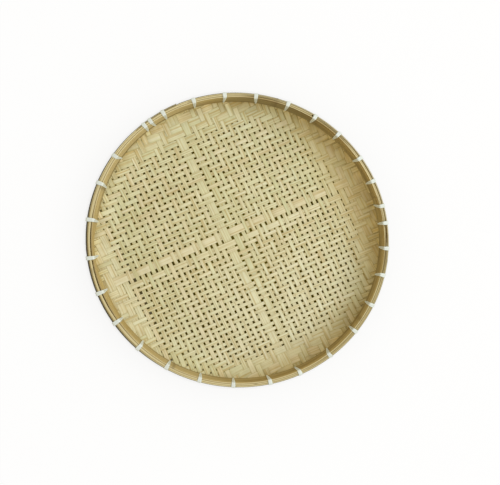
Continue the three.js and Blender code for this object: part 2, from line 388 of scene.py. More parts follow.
# %% Splint finish
JOINT_SPACING = 0.31  # metres of cane between joints
JOINT_LINE = 1.1 * MM
EDGE_SHADE_WIDTH = 0.8 * MM  # painted shade: a dark line along a splint's edge
SPLINT_FIBRES = {"per_metre": (55, 2400), "lot_step": 9.1, "shift": 0, "detail": 3.0, "roughness": 0.65}
SPLINT_STREAKS = {"per_metre": (9, 620), "lot_step": 5.3, "shift": 20, "detail": 2.0, "roughness": 0.5}
SPLINT_BLOTCHES = {"per_metre": (30, 90), "lot_step": 3.7, "shift": 40, "detail": 2.0, "roughness": 0.5}
FLOATS = 70  # per metre, each a little lighter or darker
STAINS = 26.0  # per metre
# Painted light on the floor at the front right, painted shade at the back right and close to the rim at the
# front right, and the side where the painted shade up the wall is weaker
PAINTED_LIGHT_FRONT_RIGHT = ((0.5, -0.87), -30 * MM, 150 * MM)  # direction on the mat, where it starts and where it is full
PAINTED_SHADE_BACK_RIGHT = ((0.88, 0.47), 115 * MM, 170 * MM)
PAINTED_SHADE_FRONT_RIGHT = ((0.57, -0.82), 140 * MM, 180 * MM)
LESS_WALL_SHADE = ((-0.45, -0.89), 120 * MM, 170 * MM)


def side_share(x, y, way, start, full):
    """1 on the side of the mat that a direction points to."""
    return (x * way[0] + y * way[1]).ease(start, full)


def splint_finish():
    finish, wire = new_finish("pale_bamboo_splint")
    grain = grain_on(wire)
    along, across, lot = grain
    fibres = grain_noise(wire, grain, **SPLINT_FIBRES)
    streaks = grain_noise(wire, grain, **SPLINT_STREAKS)
    blotches = grain_noise(wire, grain, **SPLINT_BLOTCHES)
    floats = wire.noise(wire.point(along * FLOATS, lot * 4.3, 60.0), 1.0, 0.5)
    place = place_on(wire)
    stains = wire.noise(place.times(STAINS), 3.0, 0.6)
    x, y, z = place.parts()
    on_floor = 1 - z.ease(1 * MM, 8 * MM)
    # Painted warm shade up the wall, weaker towards the front left
    up_wall = z.ease(2 * MM, 22 * MM)
    wall_shade = up_wall * (1 - side_share(x, y, *LESS_WALL_SHADE) * 0.6)
    joint = ((along / JOINT_SPACING + lot * 0.37).fraction() - 0.5).size() * JOINT_SPACING
    edge = number_on(wire, "half_width") - across.size()
    # Painted shade where a strip dives under the next
    dive_shade = 1 - number_on(wire, "raised").ease(-0.6, 0.7)
    tone = number_on(wire, "tone")
    # Colour of the painted shade along a strip's edges, darker up the wall
    edge_shade = wire.blend(wall_shade, paint(166, 148, 46), paint(114, 94, 36))
    # Among the coats: painted light on the floor at the front right, painted warm shade up the wall, at the
    # back right and close to the rim at the front right, and painted shade along the edges and where a strip
    # dives
    straw = coat(wire, paint(220, 221, 187), (
        (tone, paint(206, 207, 167)),
        (number_on(wire, "warmth"), paint(221, 213, 180)),
        (side_share(x, y, *PAINTED_LIGHT_FRONT_RIGHT) * on_floor * 0.4, paint(233, 231, 209)),
        (streaks.ease(0.48, 0.68) * (0.75 + wall_shade * 0.2), paint(188, 168, 112)),
        ((1 - streaks).ease(0.55, 0.7) * 0.5, paint(231, 231, 212)),
        (blotches.ease(0.52, 0.75) * 0.3, paint(227, 223, 192)),
        (wall_shade * 0.45, paint(209, 180, 106)),
        (side_share(x, y, *PAINTED_SHADE_BACK_RIGHT) * 0.4, paint(196, 170, 92)),
        (side_share(x, y, *PAINTED_SHADE_FRONT_RIGHT) * 0.3, paint(160, 138, 80)),
        (stains.ease(0.46, 0.7) * (0.1 + wall_shade * 0.3), paint(170, 140, 78)),
        ((1 - joint.ease(JOINT_LINE * 0.4, JOINT_LINE)) * 0.4, paint(168, 140, 88)),
        ((1 - edge.ease(0.0, EDGE_SHADE_WIDTH)) * (0.4 + wall_shade * 0.42), edge_shade),
        (dive_shade * 0.12, paint(170, 148, 74)),
    ))
    uneven = 1 + (0.5 - tone) * wall_shade * 0.25 + (floats - 0.5) * (0.2 + wall_shade * 0.8)
    straw = straw.times((fibres * 0.32 + 0.84) * uneven)
    close_finish(wire, straw, 0.42 + fibres * 0.25, relief=fibres, strength=0.4, depth=0.1 * MM)
    return finish


SPLINT_FINISH = splint_finish()
print("finish made:", SPLINT_FINISH.name)

# %% [markdown]
# ## The woven mat
#
# The mat is a twill: every strip passes over two and under two, and the next strip is shifted by one.
# Two wider strips each way make a cross in the middle, and the shift runs outwards from it, so the
# floats form diamonds round the middle. Between the narrow strips the holes stay open. Near the rim the
# strips are wide and lie nearly edge to edge.
#
# The strips could be drawn one by one, but a rule is shorter and stays right when a size changes. First
# come the two lists of strips, across their run, with a little unevenness from a fixed seed.

# %% Strips of the mat, across their run
WEAVE_TURN = math.radians(24.3)
WARP_SLIT = (-5.4 * MM, 3.7 * MM)  # middle and width of the slit between the cross's two strips
WEFT_SLIT = (6.1 * MM, 5.0 * MM)
CROSS_GAP = 2.5 * MM  # beside the strips of the cross
CLOSE_PITCH = 7.75 * MM  # from one narrow strip to the next
LOOSE_PITCH = 8.25 * MM
SIDES = {  # width and place in the twill of the cross's strip, then number, pitch and gap of narrow strips
    "left": (12.0 * MM, 0, 17, LOOSE_PITCH, 2.7 * MM),
    "right": (8.8 * MM, 2, 18, CLOSE_PITCH, 2.3 * MM),
    "front": (8.15 * MM, 2, 20, CLOSE_PITCH, 2.85 * MM),
    "back": (11.35 * MM, 0, 16, LOOSE_PITCH, 2.65 * MM),
}
BORDER_SPLINT = 8.1 * MM
BORDER_GAP = 1.0 * MM
UNEVEN = 0.5 * MM  # most that a narrow strip lies off its place
# How far each kind of strip may lie off its place, and how seldom it is warm in colour
HABITS = {"cross": (UNEVEN / 2, 3), "narrow": (UNEVEN, 2), "border": (UNEVEN / 3, 1)}
WEAVE_SEED = 11

dice = random.Random(WEAVE_SEED)


def strip(at, width, phase, part, kind):
    """One splint: its middle, its width, its place in the twill, and its own cast of colour."""
    wander, seldom_warm = HABITS[kind]
    off = dice.uniform(-1, 1) * wander
    slimmer = dice.uniform(0, 1) * wander
    return {
        "at": at + off, "half_width": (width - slimmer) / 2, "phase": phase, "part": part, "wander": wander,
        "lot": dice.uniform(0, 10), "tone": dice.uniform(0, 1), "warmth": dice.uniform(0, 1) ** seldom_warm,
    }


def side_strips(side, way, slit_at, slit_width):
    """Strips from the slit in the cross outwards to the wall, first the wide one of the cross."""
    cross_width, cross_phase, narrow_count, pitch, gap = SIDES[side]
    middle = slit_at + way * (slit_width + cross_width) / 2
    strips = [strip(middle, cross_width, cross_phase, "cross", "cross")]
    edge = middle + way * (cross_width + CROSS_GAP) / 2
    count = 0
    while abs(edge) < WALL_RADIUS:
        if count < narrow_count:
            kind, width, step = "narrow", pitch - gap, pitch
        else:
            kind, width, step = "border", BORDER_SPLINT, BORDER_SPLINT + BORDER_GAP
        count += 1
        strips.append(strip(edge + way * step / 2, width, cross_phase + count, side, kind))
        edge += way * step
    return strips


warp_strips = side_strips("left", -1, *WARP_SLIT) + side_strips("right", 1, *WARP_SLIT)
weft_strips = side_strips("front", -1, *WEFT_SLIT) + side_strips("back", 1, *WEFT_SLIT)
print(f"{len(warp_strips)} warp and {len(weft_strips)} weft splints")

# %% [markdown]
# A strip changes level in the gaps between the strips that it crosses. Each gap becomes a point that
# knows the place in the twill of the strips before and after it, and how wide it is. The weft runs at
# right angles to the warp, turned the same way round, so along the weft the warp's strips come in
# reverse order.

# %% Gaps that a strip crosses
def crossing_gaps(name, strips, way):
    """Seed points at the gaps between crossing strips, met along Y."""
    met = sorted(strips, key=lambda s: way * s["at"])
    places, values = [], {"half_gap": [], "phase_before": [], "phase_after": []}
    for before, after in zip(met, met[1:]):
        low = way * before["at"] + before["half_width"]
        high = way * after["at"] - after["half_width"]
        places.append((0, (low + high) / 2, 0))
        values["half_gap"].append((high - low) / 2)
        values["phase_before"].append(before["phase"])
        values["phase_after"].append(after["phase"])
    return seed_points(name, places, values)


gaps_on_warp = crossing_gaps("gaps_on_warp", weft_strips, 1)
gaps_on_weft = crossing_gaps("gaps_on_weft", warp_strips, -1)
print(len(gaps_on_warp.data.vertices), "gaps along a warp splint")

# %% [markdown]
# The weave could be sculpted or left to a bump map, but holes and crossing edges have to be real here.
# So a tree does it in steps. The first lays a flat grid on every seed point, wide as its strip. The hand
# that cut and laid the strips was not exact, so they wander sideways a little. On the bend there is less
# room, and they crowd together until the holes close. At the left they crowd less, and there the holes
# run on almost to the rim.

# %% Strips laid flat, and where they wander
STRIP_STEP = 1.6 * MM  # between points along a strip
POINTS_ACROSS = 5
ENDS_BELOW = 2 * MM  # how far the splints' ends stay under the top of their solids
WALL_RISE = MAT_TOP - HOOP_BOTTOM - ENDS_BELOW
STRIP_REACH = WALL_RADIUS + WALL_RISE
WANDER_BENDS = 14  # per metre
WANDER_LOT_STEP = 7  # from strip to strip, so that each wanders its own way
WANDER_SIZE = 3  # times a strip's unevenness
CROWD_START = 158 * MM  # from here out the strips crowd together
CROWD_END = 186 * MM
LOOSE_FROM, LOOSE_FULL = 0.25, 0.6  # cosines of the angle to the side where they crowd less
LOOSENESS = 0.65  # share of the crowding that is missing there


def laid_strips(wire, given, x):
    """Flat grids on the seed points. Every point keeps its share of the way across, from -1 to 1."""
    rows = round(2 * STRIP_REACH / STRIP_STEP)
    grid = wire.node("GeometryNodeMeshGrid", None, {
        "Size X": 2.0, "Size Y": 2 * STRIP_REACH, "Vertices X": POINTS_ACROSS, "Vertices Y": rows})
    grid = keep(wire, grid, "across_share", x)
    widened = wire.point(own(wire, "half_width"), 1.0, 1.0)
    laid = wire.node("GeometryNodeInstanceOnPoints", None, {
        "Points": given["Geometry"], "Instance": grid, "Scale": widened})
    return wire.node("GeometryNodeRealizeInstances", None, {"Geometry": laid})


def wandering_side(wire, given, x, y, share):
    """How far across the mat a point lies, after its strip has wandered and crowded."""
    spot = wire.point(y * WANDER_BENDS, own(wire, "lot") * WANDER_LOT_STEP, 0.0)
    drift = (wire.noise(spot, detail=1.0) - 0.5) * own(wire, "wander") * WANDER_SIZE
    flat_radius = (x * x + y * y).root()
    loose_x, loose_y, _ = given["Loose Side"].parts()
    loose = ((x * loose_x + y * loose_y) / flat_radius).ease(LOOSE_FROM, LOOSE_FULL)
    crowd = flat_radius.ease(CROWD_START, CROWD_END) * given["Crowding"] * (1 - loose * LOOSENESS)
    return x + drift + share * own(wire, "half_width") * crowd


print(f"strips reach {STRIP_REACH:.4f} m from the middle")

# %% [markdown]
# The second step asks the nearest gap whether the strip is over or under before and after it, and eases
# from one to the other. The third finds where the dish takes a point: flat in the middle, up a quarter
# of an ellipse, and straight up between the hoops. A height above the dish is measured square to it, so
# the weave stays as thick on the bend as on the floor.

# %% Over and under, and the dish
TWILL = 4  # strips until the twill repeats
SETTLE = 1.0 * MM  # how far past a gap's edge a strip still changes level
BEND_REACH = WALL_RADIUS - FLOOR_RADIUS
BEND_RISE = HOOP_BOTTOM - MAT_MIDDLE
TINY = 1e-12  # keeps the middle of the mat from a division by nought


def woven_level(wire, given, y):
    """1 where a strip lies over the ones it crosses and -1 where it lies under.

    The rule is written for the warp, and the side turns it round for the weft."""
    gaps = wire.node("GeometryNodeObjectInfo", None, {"Object": given["Crossing Gaps"]}, output="Geometry")
    nearest = wire.node("GeometryNodeSampleNearest", None, {
        "Geometry": gaps, "Sample Position": wire.point(0.0, y, 0.0)})

    def at_gap(value):
        return wire.node("GeometryNodeSampleIndex", {"data_type": "FLOAT", "domain": "POINT"},
                         {"Geometry": gaps, "Value": value, "Index": nearest})

    def over(phase):
        turn = own(wire, "phase") + phase
        return (turn.maths("FLOORED_MODULO", turn, TWILL) < TWILL / 2) * 2 - 1

    past = y - at_gap(y)
    change = at_gap(own(wire, "half_gap")) + SETTLE
    before = over(at_gap(own(wire, "phase_before")))
    after = over(at_gap(own(wire, "phase_after")))
    return (before + (after - before) * (past / change).ease(-1.0, 1.0)) * given["Side"]


def dished(wire, side, y, height):
    """Where the dish takes a point at some height above it, and how far up the wall that is."""
    radius = (side * side + y * y + TINY).root()
    bend = ((radius - FLOOR_RADIUS) / BEND_REACH).least(1.0).most(0.0)
    flat = (1 - bend * bend).root()
    climb = (radius - WALL_RADIUS).most(0.0)
    rise, run = bend * BEND_RISE, flat * BEND_REACH
    slope = (rise * rise + run * run).root()
    inward, upward = rise / slope, run / slope
    out = radius - climb + climb * (HOOP_FLARE / HOOP_HEIGHT) - inward * height
    up = HOOP_BOTTOM - flat * BEND_RISE + climb + upward * height
    return wire.point(side / radius * out, y / radius * out, up), climb


print(f"the mat bends up from {FLOOR_RADIUS:.3f} m by {BEND_RISE:.4f} m")

# %% Tree that weaves and dishes the strips
def weave_tree():
    tree, given = new_tree("woven_splints", {
        "Crossing Gaps": "Object", "Side": "Float", "Lift": "Float", "Crown": "Float", "Crowding": "Float",
        "Loose Side": "Vector", "Finish": "Material"})
    wire = Wire(tree)
    x, y, _ = wire.node("GeometryNodeInputPosition").parts()
    share = own(wire, "across_share")
    level = woven_level(wire, given, y)
    height = level * given["Lift"] + (1 - share * share) * given["Crown"]
    place, climb = dished(wire, wandering_side(wire, given, x, y, share), y, height)
    grain = wire.point(y, share * own(wire, "half_width"), own(wire, "lot"))
    woven = wire.node("GeometryNodeDeleteGeometry", {"domain": "POINT"}, {
        "Geometry": laid_strips(wire, given, x), "Selection": climb > WALL_RISE})
    woven = keep(wire, woven, "grain", grain, "FLOAT_VECTOR")
    woven = keep(wire, woven, "raised", level)
    woven = wire.node("GeometryNodeSetPosition", None, {"Geometry": woven, "Position": place})
    close_tree(wire, woven, given["Finish"])
    return tree


WEAVE = weave_tree()
print("weave tree:", len(WEAVE.nodes), "nodes")

# %% [markdown]
# Each part of the mat is made from its own strips. The strips get their thickness last, by Solidify,
# which also closes their edges. The edges stay sharp, because a splint is cut and not moulded.

# %% The six parts of the mat
SPLINT_THICKNESS = 0.6 * MM
WEAVE_LIFT = 0.45 * MM  # of a strip's middle above or below the middle of the mat
SPLINT_CROWN = 0.08 * MM
CROWDING = 0.38  # share by which strips widen where they crowd together
LOOSE_SIDE = math.radians(200)  # they crowd less there
SHARP_EDGE = math.radians(45)


def woven_part(name, strips, gaps, side, run):
    """One part of the mat. The side is 1 for the warp and -1 for the weft."""
    keys = ("half_width", "phase", "wander", "lot", "tone", "warmth")
    values = {key: [s[key] for s in strips] for key in keys}
    seeds = seed_points(name + "_seeds", [(s["at"], 0, 0) for s in strips], values)
    loose_side = (math.cos(LOOSE_SIDE - run), math.sin(LOOSE_SIDE - run), 0.0)
    add_tree(seeds, WEAVE, {
        "Crossing Gaps": gaps, "Side": side, "Lift": WEAVE_LIFT, "Crown": SPLINT_CROWN, "Crowding": CROWDING,
        "Loose Side": loose_side, "Finish": SPLINT_FINISH})
    thickness = seeds.modifiers.new("thickness", "SOLIDIFY")
    thickness.thickness = SPLINT_THICKNESS
    thickness.offset = 0
    piece = plain_piece(seeds, name, OVAL @ Matrix.Rotation(run, 4, "Z"))
    piece.data.set_sharp_from_angle(angle=SHARP_EDGE)
    return piece


WARP_NODES = {"left": "warp_splints_left", "cross": "wide_warp_splints", "right": "warp_splints_right"}
WEFT_NODES = {"front": "weft_splints_front", "cross": "wide_weft_splints", "back": "weft_splints_back"}
LAYERS = (
    (WARP_NODES, warp_strips, gaps_on_warp, 1.0, WEAVE_TURN),
    (WEFT_NODES, weft_strips, gaps_on_weft, -1.0, WEAVE_TURN + math.pi / 2),
)
for nodes, strips, gaps, side, run in LAYERS:
    for part, node in nodes.items():
        of_part = [s for s in strips if s["part"] == part]
        hand_over(woven_part("woven_" + node, of_part, gaps, side, run), "splint", node)
    bpy.data.objects.remove(gaps)

# %% [markdown]
# ## Finish of the hoops
#
# A hoop is a strip split from a thick cane. Its outside is the cane's skin, olive and smooth, its inside
# is the brown, fibrous wall of the cane, and its edges are pale where the knife cut them. At the left the
# outer skin is darker and the other skins and the edges are lighter, and some stretches of the edges are
# darker. In a stretch at the right the outer skin carries a painted sheen near its top, the filler's skin
# is dark, the edges of the filler and the inner hoop are paler and the outer hoop's edge is darker. On
# the inner face light and shade are painted: it is darker towards the bottom and at the right and lighter
# at the left, and some stretches carry painted light with a painted shadow along the foot, one painted
# shade.
#
# Three materials could share one hoop, but then the faces would meet in hard lines. One finish serves
# all rim strips with other colours: a value stored on the section says which face a point is on, and
# values stored round the rim say how far to the left it lies, whether it is in the stretch at the right
# or in a dulled one, and how much painted light or shade the inner face takes there.

# %% Colours of the rim strips
CUT_EDGE = {"plain": paint(206, 198, 160), "streak": paint(178, 164, 118),
            "dulled": paint(170, 152, 108), "right_stretch": paint(222, 210, 170)}
OUTER_EDGE = {"plain": paint(206, 198, 160), "streak": paint(178, 164, 118),
              "dulled": paint(110, 102, 72), "right_stretch": paint(168, 160, 128)}
FILLER_EDGE = {"plain": paint(198, 188, 146), "streak": paint(168, 154, 110),
               "dulled": paint(122, 108, 70), "right_stretch": paint(212, 200, 158)}
CANE_WALL = {"plain": paint(194, 174, 116), "streak": paint(156, 130, 71), "patch": paint(136, 111, 61)}
PALE_WALL = {"plain": paint(178, 164, 116), "streak": paint(158, 142, 94), "patch": paint(146, 128, 80)}
# The last colour of the olive skin is a painted sheen near its top, in a stretch at the right
OLIVE_SKIN = {"plain": paint(136, 126, 80), "patch": paint(160, 148, 102),
              "left_side": paint(50, 46, 27), "right_stretch": paint(198, 190, 164)}
YELLOW_SKIN = {"plain": paint(150, 134, 84), "patch": paint(182, 160, 106),
               "left_side": paint(168, 148, 96), "right_stretch": paint(226, 214, 174)}
PALE_SKIN = {"plain": paint(176, 162, 114), "patch": paint(190, 176, 128),
             "left_side": paint(208, 196, 152), "right_stretch": paint(84, 72, 40)}
# Painted shadow along the foot of the inner face, and painted light on the inner face above it
FOOT_SHADOW, LIT_WALL = paint(120, 104, 60), paint(218, 202, 154)
LEFT_SIDE_EDGE = paint(228, 218, 178)
CANE_JOINT = paint(96, 76, 42)
print("colours of a skin:", *OLIVE_SKIN)

# %% Hoop finish
CANE_FIBRES = {"per_metre": (40, 1700), "lot_step": 1, "shift": 0, "detail": 3.0, "roughness": 0.65}
CANE_STREAKS = {"per_metre": (7, 330), "lot_step": 1, "shift": 20, "detail": 3.0, "roughness": 0.55}
CANE_PATCHES = {"per_metre": (11, 45), "lot_step": 1, "shift": 40, "detail": 2.0, "roughness": 0.5}


def hoop_finish(name, skin, wall, edge):
    finish, wire = new_finish(name)
    grain = grain_on(wire)
    fibres = grain_noise(wire, grain, **CANE_FIBRES)
    streaks = grain_noise(wire, grain, **CANE_STREAKS)
    patches = grain_noise(wire, grain, **CANE_PATCHES)
    face, left_side = number_on(wire, "face"), number_on(wire, "left_side")
    right_stretch, face_light = number_on(wire, "right_stretch"), number_on(wire, "face_light")
    height = place_on(wire).parts()[2]
    upper = height.ease(RIM_TOP - 10 * MM, RIM_TOP) * 0.8 + 0.2
    brow = height.ease(RIM_TOP - 6 * MM, RIM_TOP - 3 * MM)
    above_foot = height.ease(HOOP_BOTTOM + 2 * MM, HOOP_BOTTOM + 8 * MM)
    # Painted shade on the inner face, darker towards its bottom
    shade = height.ease(HOOP_BOTTOM, RIM_TOP) * 0.3 + 0.74
    # The outer skin is darker at the left towards the top, and has a painted sheen near its top in the
    # stretch at the right
    outside = coat(wire, skin["plain"], (
        (patches.ease(0.35, 0.7), skin["patch"]),
        (left_side * upper, skin["left_side"]),
        (right_stretch * brow * 0.75, skin["right_stretch"])))
    inside = coat(wire, wall["plain"], (
        (streaks.ease(0.38, 0.66), wall["streak"]),
        (patches.ease(0.5, 0.72) * 0.5, wall["patch"])))
    # Painted light and shade on the inner face: darker at the right, which faces away from the window, and
    # lighter at the left
    inside = inside.times(shade + (1.1 - shade) * left_side)
    # Painted light with a painted shadow along the foot on some stretches of the inner face, and painted
    # shade on another
    inside = wire.blend(face_light.most(0.0) * 0.65, inside, wire.blend(above_foot, FOOT_SHADOW, LIT_WALL))
    inside = inside.times(1 - (0 - face_light).most(0.0) * 0.38)
    cut = coat(wire, edge["plain"], (
        (streaks.ease(0.42, 0.68), edge["streak"]),
        (left_side.ease(0.15, 0.6) * 0.5, LEFT_SIDE_EDGE),
        (number_on(wire, "dulled"), edge["dulled"]),
        (right_stretch, edge["right_stretch"])))
    colour = coat(wire, cut, ((face.ease(0.02, 0.4), outside), ((0 - face).ease(0.25, 0.8), inside)))
    colour = colour.times(fibres * 0.28 + 0.86)
    colour = wire.blend(number_on(wire, "joint") * 0.55, colour, CANE_JOINT)
    rough = 0.6 - face.ease(0.25, 0.8) * 0.12 + fibres * 0.14
    close_finish(wire, colour, rough, relief=fibres, strength=0.5, depth=0.15 * MM)
    return finish


OUTER_FINISH = hoop_finish("olive_cane_hoop", OLIVE_SKIN, CANE_WALL, OUTER_EDGE)
INNER_FINISH = hoop_finish("brown_cane_hoop", YELLOW_SKIN, CANE_WALL, CUT_EDGE)
FILLER_FINISH = hoop_finish("pale_cane_filler", PALE_SKIN, PALE_WALL, FILLER_EDGE)
print("finishes made:", OUTER_FINISH.name, INNER_FINISH.name, FILLER_FINISH.name)

# %% [markdown]
# ## Hoops
#
# Both hoops lean outwards a little. Their ends are pared to a slope and lie over each other, so a hoop is
# longer than one turn. A strip that is swept round a circle could be a curve with a bevel, but the pared
# ends change the section along the way. So the hoop is a skin over sections, one for every degree, and a
# few slow waves take the machine-made look away.
#
# A place on the rim is given in degrees from the right, turning to the back, and a stretch of it by its
# middle and its reach to either side.

# %% Section of a bent strip
HOOP_CORNER = 0.7 * MM
CORNER_SHARE = 0.3  # most of a thin strip that a rounded corner takes
CORNER_STEPS = 3
FACE_STEPS = 6


def lean_at(z):
    """How much further in the rim stands at a height than at its top."""
    return HOOP_FLARE * (RIM_TOP - max(z, HOOP_BOTTOM)) / HOOP_HEIGHT


def strip_section(inside, outside, bottom, top, belly, skin_reach):
    """Points round a section, up the outside first: radius, height and face, 1 outside and -1 inside.

    The outer top corner is rounded by the skin's reach, and the skin covers all of it."""
    thickness = outside - inside
    corner = min(HOOP_CORNER, thickness * CORNER_SHARE)
    brow = min(skin_reach, thickness - corner)
    low, high = bottom + corner, top - corner
    points = []

    def up_face(radius, start, end, face, bulge):
        for k in range(FACE_STEPS + 1):
            share = k / FACE_STEPS
            points.append((radius + bulge * 4 * share * (1 - share), start + (end - start) * share, face))

    def round_corner(radius, height, size, start, first_face, last_face):
        for k in range(1, CORNER_STEPS):
            turn = start + math.pi / 2 * k / CORNER_STEPS
            face = first_face + (last_face - first_face) * k / CORNER_STEPS
            points.append((radius + size * math.cos(turn), height + size * math.sin(turn), face))

    up_face(outside, low, top - brow, 1, belly)
    round_corner(outside - brow, top - brow, brow, 0, 1, 0.5)
    points.append((outside - brow, top, 0.2))
    points.append((inside + corner, top, 0))
    round_corner(inside + corner, high, corner, math.pi / 2, 0, -1)
    up_face(inside, high, low, -1, 0)
    round_corner(inside + corner, low, corner, math.pi, -1, 0)
    points.append((inside + corner, bottom, 0))
    points.append((outside - corner, bottom, 0))
    round_corner(outside - corner, low, corner, -math.pi / 2, 0, 1)
    return points


plain_section = strip_section(OUTER_HOOP_INSIDE, RIM_RADIUS, HOOP_BOTTOM, RIM_TOP, 0, HOOP_CORNER)
print(len(plain_section), "points round the section of a hoop")

# %% [markdown]
# The skin joins each section to the next, as planks join the ribs of a boat, and closes both ends. On
# the way it stores what the finish can't find out for itself: the run of the grain, the face, the joints
# of the cane, and the marks that the photograph shows on some stretches of the rim.

# %% A skin over sections
FULL_TURN = 2 * math.pi
HOOP_STEP = math.radians(1)
CANE_JOINT_SPACING = 0.29  # metres between the joints of a hoop's cane
CANE_JOINT_REACH = 2.2 * MM
CANE_JOINT_BULGE = 0.25 * MM
FACE_LIGHT_STRETCHES = ((1.0, 136, 34), (-1.0, 76, 24), (0.6, 242, 20))  # painted light on the inner face, or painted shade if negative, and where


def around(angle, middle, reach):
    """1 near the middle and 0 beyond the reach to either side, which are in degrees."""
    off = (math.degrees(angle) - middle + 180) % 360 - 180
    return math.exp(-(off / reach) ** 4)


def stretches_at(angle, stretches):
    """What several stretches of the rim, each with its size, add up to at an angle."""
    return sum(size * around(angle, middle, reach) for size, middle, reach in stretches)


def closed_skin(count, steps):
    """Faces of a skin over sections of so many points, with closed ends."""
    faces = []
    for here in range(0, steps * count, count):
        after = here + count
        for j in range(count):
            beside = (j + 1) % count
            faces.append((here + j, after + j, after + beside, here + beside))
    return faces + [tuple(range(count)), tuple(reversed(range(steps * count, (steps + 1) * count)))]


def bent_strip(name, start, end, section_at, lot, finish, marks):
    """A closed strip bent round the tray, with its grain, faces and marks stored for the finish."""
    steps = round((end - start) / HOOP_STEP)
    places, grain, values = [], [], {}
    for k in range(steps + 1):
        angle = start + (end - start) * k / steps
        along = angle * RIM_RADIUS
        off = ((along / CANE_JOINT_SPACING + lot) % 1 - 0.5) * CANE_JOINT_SPACING
        joint = math.exp(-(off / CANE_JOINT_REACH) ** 2)
        here = {label: max(around(angle, *spot) for spot in spots) for label, spots in marks.items()}
        here["joint"] = joint
        # 0 at the right and 1 at the left; among other things it carries the painted light and shade of the
        # inner face
        here["left_side"] = 0.5 - 0.5 * math.cos(angle)
        # Painted light on the inner face, or painted shade where it is below nought
        here["face_light"] = stretches_at(angle, FACE_LIGHT_STRETCHES)
        section = section_at(angle)
        girth = section[0][1] - max(z for _, z, _ in section)
        for j, (radius, z, face) in enumerate(section):
            if j:
                girth += math.dist(section[j - 1][:2], (radius, z))
            out = radius - lean_at(z) + joint * face * CANE_JOINT_BULGE
            places.append((out * math.cos(angle), out * math.sin(angle), z))
            grain.append((along, girth, lot))
            for label, amount in {"face": face, **here}.items():
                values.setdefault(label, []).append(amount)
    mesh = bpy.data.meshes.new(name)
    mesh.from_pydata(places, [], closed_skin(len(section), steps))
    store_grain(mesh, grain)
    store_numbers(mesh, values)
    mesh.transform(OVAL)
    mesh.shade_smooth()
    mesh.set_sharp_from_angle(angle=SHARP_EDGE)
    mesh.materials.append(finish)
    return add_object(name, mesh)


print(round(FULL_TURN / HOOP_STEP), "sections to a turn")

# %% [markdown]
# The photograph shows where each hoop leaves its round. The outer one stands proud at the tip of its
# lap, and at the left the rim has opened: the outer hoop lies further out there and the inner one
# further in. The lower edge of the inner hoop is cut back at the left, and the skin of the outer one
# comes further over its top at the left and at the back right.

# %% How the hoops leave their round
OUTER_LAP_START, OUTER_LAP, OUTER_LAP_PROUD = math.radians(114), math.radians(18), 0.9 * MM
INNER_LAP_START, INNER_LAP = math.radians(6), math.radians(12)
OPEN_STRETCH = (192, 42)  # where the strips of the rim stand apart
OUTER_OPENS, INNER_OPENS = 0.8 * MM, 2.0 * MM
NOTCH_AT, NOTCH_REACH, NOTCH_TAPER = math.radians(187), math.radians(14), math.radians(7)
NOTCH_HEIGHT = 14 * MM
SKIN_STRETCHES = ((1.1 * MM, 188, 42), (0.5 * MM, 30, 100), (0.3 * MM, 35, 40))
FAST_SHARE, FAST_START = 0.6, 2.3  # size and start of a wave's quick part, next to its slow part


def wave(angle, size, slow, fast, start):
    """A slow uneven wave round the rim, made of so many slow and quick swings per turn."""
    swing = math.sin(slow * angle + start) + FAST_SHARE * math.sin(fast * angle + FAST_START * start)
    return size * swing / (1 + FAST_SHARE)


def proud_at(angle):
    """How far the outer hoop stands out of its round, most at the outside tip of its lap."""
    share = (angle - OUTER_LAP_START) / OUTER_LAP
    return OUTER_LAP_PROUD * (1 - share) if 0 <= share < 1 else OUTER_OPENS * around(angle, *OPEN_STRETCH)


def inset_at(angle):
    """How far the inner hoop stands inside its round."""
    return INNER_OPENS * around(angle, *OPEN_STRETCH)


def skin_at(angle):
    """How much further the cane's skin comes over the outer hoop's top."""
    return stretches_at(angle, SKIN_STRETCHES)


def notch_at(angle):
    """How much the lower edge of the inner hoop is cut back."""
    within = (NOTCH_REACH - abs(angle - NOTCH_AT)) / NOTCH_TAPER
    return NOTCH_HEIGHT * min(max(within, 0), 1)


def even(angle):
    return 0


print(f"the rim opens by {OUTER_OPENS + INNER_OPENS:.4f} m at the left")

# %% [markdown]
# In a lap both ends of a hoop are pared on a slope, down to a thin tip, and lie one over the other within
# the thickness of the strip. A hoop could be a closed ring with a line drawn on it, but then its laps
# would not catch the light. So every section asks how far it stands into the first or the last end, and
# gives up that much of its inside or its outside.

# %% The two hoops
LAP_TIP = 0.3  # share of the thickness left at a pared tip
LAP_CLEARANCE = 0.3 * MM
HOOP_BELLY = 0.25 * MM
TOP_WAVE, BOTTOM_WAVE = (0.35 * MM, 3, 7), (0.3 * MM, 2, 5)
OUTER_LOT, INNER_LOT, FILLER_LOT = 1.3, 4.6, 7.2  # numbers that give each strip a grain of its own
# Stretches of the rim: darker edges, and one at the right where the outer skin takes a painted sheen
OUTER_MARKS = {"dulled": ((195, 42),), "right_stretch": ((35, 45),)}
INNER_MARKS = {"dulled": ((195, 28), (354, 10), (50, 10), (80, 8)), "right_stretch": ((24, 18),)}
FILLER_MARKS = {"dulled": ((354, 10), (50, 10), (80, 8)), "right_stretch": ((24, 18),)}


